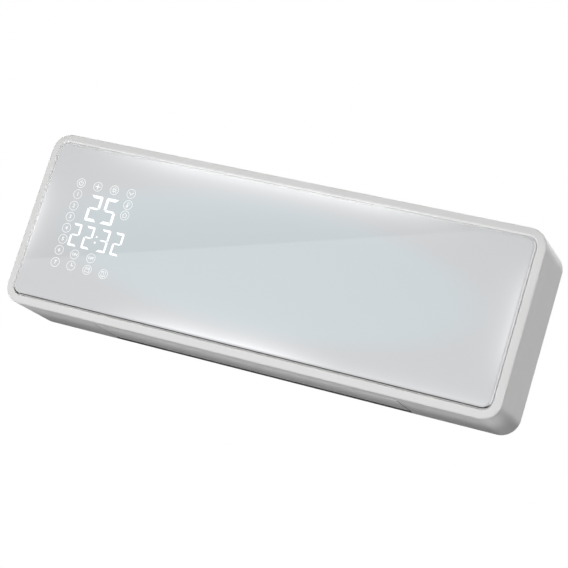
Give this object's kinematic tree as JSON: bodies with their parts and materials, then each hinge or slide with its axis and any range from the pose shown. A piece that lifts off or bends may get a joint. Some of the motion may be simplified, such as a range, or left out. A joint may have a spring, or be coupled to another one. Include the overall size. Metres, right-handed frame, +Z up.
{
  "type": "wall fan heater with thermostat",
  "caption": "Wall-hung ceramic fan heater with a built-in thermostat: white glass touch front, cross-flow fan, swinging outlet louver and lift-out dust filter.",
  "frame": {"origin": "centre of the wall contact plane, on the rear cover's back face", "axes": "+X to the right along the width seen from the front, +Y into the wall, +Z up"},
  "size_m": [0.545, 0.102, 0.188],
  "materials": {
    "housing_white": "white moulded ABS, fine satin-gloss",
    "rear_white": "white moulded ABS, matt",
    "panel_glass": "thick glass, printed white on its back, polished",
    "foam_dark": "foam adhesive tape",
    "diffuser_white": "white light box",
    "board_green": "solder resist over glass laminate",
    "zinc_steel": "zinc-plated steel",
    "impeller_grey": "glass-filled dark grey plastic",
    "rubber_black": "soft black rubber",
    "bronze": "oiled sintered bronze",
    "motor_steel": "drawn steel can, plated",
    "duct_grey": "dark grey heat-resistant plastic",
    "guard_black": "black plastic, fine grain",
    "fin_aluminium": "bare aluminium",
    "brass_tabs": "brass push-on tabs",
    "heatproof_cream": "cream heat-resistant plastic",
    "coil_yellow": "yellow taped coil",
    "lens_dark": "dark red infrared lens"
  },
  "bodies": {
    "housing": {"front_housing": "housing_white", "rear_cover": "rear_white", "outlet_guard": "guard_black", "fan_motor": "motor_steel", "glass_panel": "panel_glass", "display_diffuser": "diffuser_white", "wall_bracket": "zinc_steel", "heater_fins_1": "fin_aluminium", "heater_fins_2": "fin_aluminium", "heater_fins_3": "fin_aluminium", "motor_cradle": "zinc_steel", "louver_motor": "motor_steel", "power_board": "board_green", "panel_gasket": "foam_dark", "bearing_holder": "rubber_black", "room_sensor": "guard_black", "transformer": "coil_yellow", "thermal_cutout": "heatproof_cream", "terminal_block": "heatproof_cream", "cord_gland": "rubber_black", "heater_frame": "heatproof_cream", "motor_mount_ring_1": "rubber_black", "motor_mount_ring_2": "rubber_black", "end_plate_left": "duct_grey", "end_plate_right": "duct_grey", "display_board": "board_green", "remote_receiver": "lens_dark", "bearing_bush": "bronze", "touch_spring_1": "zinc_steel", "touch_spring_2": "zinc_steel", "touch_spring_3": "zinc_steel", "touch_spring_4": "zinc_steel", "rear_guide": "duct_grey", "heater_tube_1": "fin_aluminium", "heater_tube_2": "fin_aluminium", "housing_screw_1": "zinc_steel", "housing_screw_2": "zinc_steel", "housing_screw_3": "zinc_steel", "housing_screw_4": "zinc_steel", "relay_1": "guard_black", "relay_2": "guard_black", "switch_body": "guard_black", "heat_sink": "fin_aluminium", "thermal_fuse": "heatproof_cream", "front_guide": "duct_grey", "heater_terminal_1": "brass_tabs", "heater_terminal_2": "brass_tabs"},
    "rotor": {"impeller": "impeller_grey", "bearing_pin": "zinc_steel", "motor_shaft": "zinc_steel"},
    "louver": {"louver": "housing_white", "louver_drive_shaft": "zinc_steel"},
    "filter": {"intake_grille": "housing_white", "filter_frame": "guard_black", "filter_mesh": "guard_black"},
    "switch_key": {"switch_key": "guard_black"}
  },
  "joints": [
    {"name": "fan_spin", "type": "hinge", "parent": "housing", "child": "rotor", "pos_m": [0, -0.052, 0.026], "axis": [1, 0, 0], "continuous": true},
    {"name": "louver_swing", "type": "hinge", "parent": "housing", "child": "louver", "pos_m": [0, -0.032, -0.084], "axis": [1, 0, 0], "range_deg": [0, 75]},
    {"name": "filter_lift", "type": "slide", "parent": "housing", "child": "filter", "axis": [0, 0, 1], "range_m": [0, 0.012]},
    {"name": "switch_rock", "type": "hinge", "parent": "housing", "child": "switch_key", "pos_m": [-0.2664, -0.046, -0.044], "axis": [0, 0, 1], "range_deg": [-18, 0]}
  ]
}
